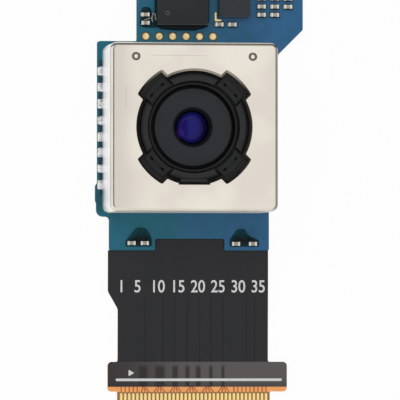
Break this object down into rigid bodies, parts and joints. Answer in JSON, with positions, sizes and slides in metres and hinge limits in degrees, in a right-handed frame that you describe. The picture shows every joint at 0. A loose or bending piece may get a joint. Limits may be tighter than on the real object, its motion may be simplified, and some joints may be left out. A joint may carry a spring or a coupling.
{
  "type": "camera module",
  "caption": "Compact camera module: square shield can over a stabilised autofocus lens, on a rigid-flex board with a contact tail.",
  "frame": {"origin": "where the optical axis meets the underside of the back plate", "axes": "+Z out of the lens along the optical axis, +Y from the contact tail towards the upper board, +X to the right seen from the lens side with the tail down"},
  "size_m": [0.0155, 0.0338, 0.0062],
  "materials": {
    "plate_steel": "rolled stainless, bare",
    "solder_mask": "blue solder mask over fibreglass and copper",
    "polyimide": "amber polyimide film",
    "coverlay": "black coverlay film, satin",
    "gold": "gold over nickel and copper",
    "chip_mould": "moulded epoxy with a fine grain",
    "underfill": "cured black epoxy",
    "chip_capacitor": "ceramic body with tinned ends",
    "solder": "bright solder",
    "black_moulding": "glass-filled black liquid crystal polymer",
    "barrel_black": "black polycarbonate, fine spark finish",
    "silicon": "polished silicon die under a colour filter array",
    "filter_glass": "coated blue glass",
    "lens_glass": "moulded optical plastic with a blue coating",
    "copper": "enamelled copper wire, bonded flat",
    "yoke_steel": "cold rolled magnetic steel",
    "magnet": "nickel plated neodymium",
    "ball_ceramic": "polished ceramic",
    "can_steel": "drawn stainless with a warm satin face"
  },
  "bodies": {
    "module": {"back_plate": "plate_steel", "rigid_board": "solder_mask", "flex_base_film": "polyimide", "tail_stiffener": "polyimide", "actuator_fpc": "polyimide", "flex_top_coverlay": "coverlay", "flex_bottom_coverlay": "coverlay", "tail_contacts": "gold", "test_pads": "gold", "orientation_mark": "gold", "large_chip": "chip_mould", "small_chip": "chip_mould", "focus_hall_sensor": "chip_mould", "shift_hall_sensor_x": "chip_mould", "shift_hall_sensor_y": "chip_mould", "large_chip_underfill": "underfill", "epoxy_left": "underfill", "epoxy_mound_left": "underfill", "epoxy_mound_right": "underfill", "capacitors_right": "chip_capacitor", "capacitors_centre": "chip_capacitor", "capacitors_left": "chip_capacitor", "capacitors_in_left_mound": "chip_capacitor", "capacitors_in_right_mound": "chip_capacitor", "solder_joints": "solder", "sensor_base": "black_moulding", "actuator_housing": "black_moulding", "image_sensor": "silicon", "ir_filter": "filter_glass", "focus_coil": "copper", "shift_coil_x": "copper", "shift_coil_y": "copper", "focus_yoke": "yoke_steel", "shift_yoke_x": "yoke_steel", "shift_yoke_y": "yoke_steel", "shield_can": "can_steel"},
    "focus_unit": {"focus_carrier": "black_moulding", "focus_magnet": "magnet", "stopper_ring": "black_moulding"},
    "focus_ball_set": {"focus_balls": "ball_ceramic"},
    "guide": {"guide_frame": "black_moulding"},
    "x_ball_set": {"x_balls": "ball_ceramic"},
    "lens_unit": {"lens_holder": "black_moulding", "shift_magnet_x": "magnet", "shift_magnet_y": "magnet", "lens_barrel": "barrel_black", "lens_1": "lens_glass", "lens_2": "lens_glass", "lens_3": "lens_glass", "lens_4": "lens_glass", "lens_5": "lens_glass", "lens_6": "lens_glass", "lens_spacers": "barrel_black", "barrel_retainer": "barrel_black"},
    "y_ball_set": {"y_balls": "ball_ceramic"}
  },
  "joints": [
    {"name": "focus_slide", "type": "slide", "parent": "module", "child": "focus_unit", "axis": [0, 0, 1], "range_m": [0, 0.0003], "stiffness_N_per_m": 40},
    {"name": "focus_ball_roll", "type": "slide", "parent": "module", "child": "focus_ball_set", "axis": [0, 0, 1], "range_m": [0, 0.00015]},
    {"name": "shift_x", "type": "slide", "parent": "focus_unit", "child": "guide", "axis": [1, 0, 0], "range_m": [-0.0001, 0.0001], "stiffness_N_per_m": 40},
    {"name": "x_ball_roll", "type": "slide", "parent": "focus_unit", "child": "x_ball_set", "axis": [1, 0, 0], "range_m": [-0.00005, 0.00005]},
    {"name": "shift_y", "type": "slide", "parent": "guide", "child": "lens_unit", "axis": [0, 1, 0], "range_m": [-0.0001, 0.0001], "stiffness_N_per_m": 40},
    {"name": "y_ball_roll", "type": "slide", "parent": "guide", "child": "y_ball_set", "axis": [0, 1, 0], "range_m": [-0.00005, 0.00005]}
  ],
  "couplings": [
    {"joint": "focus_ball_roll", "follows": "focus_slide", "ratio": 0.5},
    {"joint": "x_ball_roll", "follows": "shift_x", "ratio": 0.5},
    {"joint": "y_ball_roll", "follows": "shift_y", "ratio": 0.5}
  ]
}
